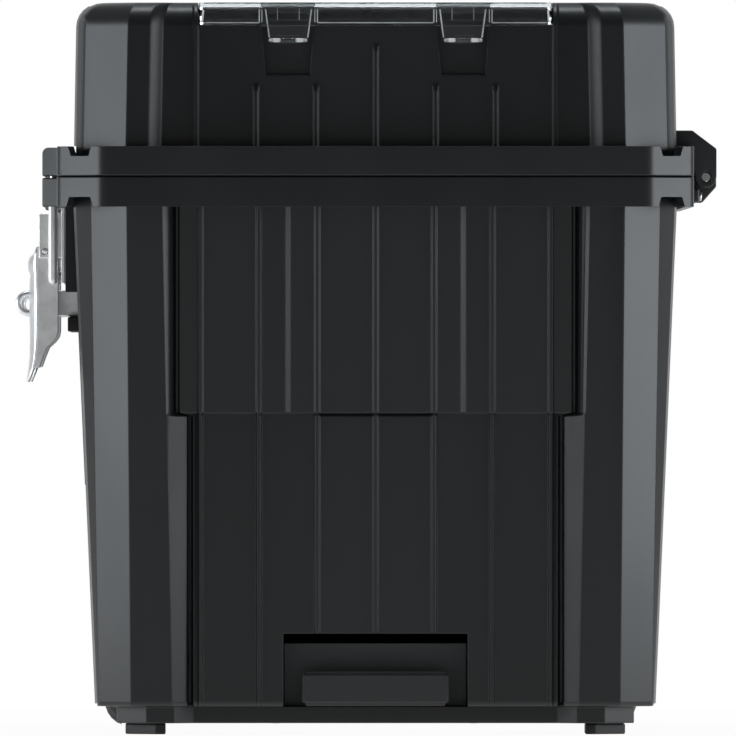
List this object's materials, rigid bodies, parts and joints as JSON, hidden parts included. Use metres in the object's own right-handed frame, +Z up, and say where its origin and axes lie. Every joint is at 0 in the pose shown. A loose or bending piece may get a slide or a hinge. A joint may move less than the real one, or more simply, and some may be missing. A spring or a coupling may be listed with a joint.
{
  "type": "rolling tool case",
  "caption": "Moulded rolling tool chest with a hinged lid, over-centre draw latches, clear-topped organiser bins, rear wheels and a pull-out tow handle.",
  "frame": {"origin": "middle of the footprint on the ground", "axes": "+Z up, -Y towards the end with the feet and the tow handle, latches on -X, hinges on +X, wheels at +Y"},
  "size_m": [0.4016, 0.616, 0.4178],
  "materials": {
    "shell": "fine moulded grain, satin",
    "hinge_plastic": "smooth satin",
    "inner_plastic": "moulded, satin",
    "grip": "fine moulded grain",
    "foot_rubber": "matt",
    "seal_rubber": "matt",
    "tyre": "matt",
    "wheel_plastic": "satin",
    "clear_plastic": "clear, polished",
    "zinc_steel": "bright zinc plating",
    "tube_steel": "polished",
    "pin_steel": "plain bright steel"
  },
  "bodies": {
    "case": {"base_rivet_1": "zinc_steel", "base_rivet_2": "zinc_steel", "base_rivet_3": "zinc_steel", "base_rivet_4": "zinc_steel", "body_shell": "shell", "bracket_screw_1": "pin_steel", "bracket_screw_2": "pin_steel", "bracket_screw_3": "pin_steel", "bracket_screw_4": "pin_steel", "foot_left": "foot_rubber", "foot_right": "foot_rubber", "handle_guide": "inner_plastic", "hinge_bracket_far": "hinge_plastic", "hinge_bracket_near": "hinge_plastic", "hinge_pin_far": "pin_steel", "hinge_pin_near": "pin_steel", "latch_base_far": "zinc_steel", "latch_base_near": "zinc_steel", "lever_pin_far": "pin_steel", "lever_pin_near": "pin_steel", "padlock_eye_far": "zinc_steel", "padlock_eye_near": "zinc_steel", "tunnel_cover": "inner_plastic", "tunnel_screw_1": "pin_steel", "tunnel_screw_2": "pin_steel", "tunnel_screw_3": "pin_steel", "tunnel_screw_4": "pin_steel", "wheel_axle_left": "pin_steel", "wheel_axle_right": "pin_steel"},
    "lid": {"cover_pin_far": "pin_steel", "cover_pin_near": "pin_steel", "ear_screw_1": "pin_steel", "ear_screw_2": "pin_steel", "ear_screw_3": "pin_steel", "ear_screw_4": "pin_steel", "hinge_ear_far": "hinge_plastic", "hinge_ear_near": "hinge_plastic", "lid_seal": "seal_rubber", "lid_shell": "shell", "organizer_divider_far": "inner_plastic", "organizer_divider_near": "inner_plastic"},
    "tow_handle": {"handle_grip": "grip", "handle_slider": "inner_plastic", "handle_tube_left": "tube_steel", "handle_tube_right": "tube_steel"},
    "wheel_left": {"hub_cap_left": "wheel_plastic", "tyre_left": "tyre", "wheel_rim_left": "wheel_plastic"},
    "wheel_right": {"hub_cap_right": "wheel_plastic", "tyre_right": "tyre", "wheel_rim_right": "wheel_plastic"},
    "latch_bail_far": {"latch_bail_far": "zinc_steel"},
    "latch_bail_near": {"latch_bail_near": "zinc_steel"},
    "latch_lever_far": {"latch_lever_far": "zinc_steel"},
    "latch_lever_near": {"latch_lever_near": "zinc_steel"},
    "organizer_cover_far": {"organizer_cover_far": "clear_plastic"},
    "organizer_cover_near": {"organizer_cover_near": "clear_plastic"}
  },
  "joints": [
    {"name": "lid_hinge", "type": "hinge", "parent": "case", "child": "lid", "pos_m": [0.19465, 0, 0.3186], "axis": [0, 1, 0], "range_deg": [0, 100]},
    {"name": "handle_slide", "type": "slide", "parent": "case", "child": "tow_handle", "axis": [0, -1, 0], "range_m": [0, 0.36]},
    {"name": "lever_near_pivot", "type": "hinge", "parent": "case", "child": "latch_lever_near", "pos_m": [-0.18375, -0.19, 0.2762], "axis": [0, 1, 0], "range_deg": [0, 100]},
    {"name": "bail_near_pivot", "type": "hinge", "parent": "latch_lever_near", "child": "latch_bail_near", "pos_m": [-0.17905, -0.19, 0.2599], "axis": [0, 1, 0], "range_deg": [-78.5, 0.5]},
    {"name": "cover_near_hinge", "type": "hinge", "parent": "lid", "child": "organizer_cover_near", "pos_m": [0.00515, -0.147, 0.4111], "axis": [-1, 0, 0], "range_deg": [0, 100]},
    {"name": "lever_far_pivot", "type": "hinge", "parent": "case", "child": "latch_lever_far", "pos_m": [-0.18375, 0.19, 0.2762], "axis": [0, 1, 0], "range_deg": [0, 100]},
    {"name": "bail_far_pivot", "type": "hinge", "parent": "latch_lever_far", "child": "latch_bail_far", "pos_m": [-0.17905, 0.19, 0.2599], "axis": [0, 1, 0], "range_deg": [-78.5, 0.5]},
    {"name": "cover_far_hinge", "type": "hinge", "parent": "lid", "child": "organizer_cover_far", "pos_m": [0.00515, 0.147, 0.4111], "axis": [1, 0, 0], "range_deg": [0, 100]},
    {"name": "wheel_left_spin", "type": "hinge", "parent": "case", "child": "wheel_left", "pos_m": [-0.13335, 0.226, 0.075], "axis": [1, 0, 0], "continuous": true},
    {"name": "wheel_right_spin", "type": "hinge", "parent": "case", "child": "wheel_right", "pos_m": [0.14365, 0.226, 0.075], "axis": [1, 0, 0], "continuous": true}
  ],
  "couplings": [
    {"joint": "bail_near_pivot", "follows": "lever_near_pivot", "ratio": -0.78},
    {"joint": "bail_far_pivot", "follows": "lever_far_pivot", "ratio": -0.78}
  ]
}
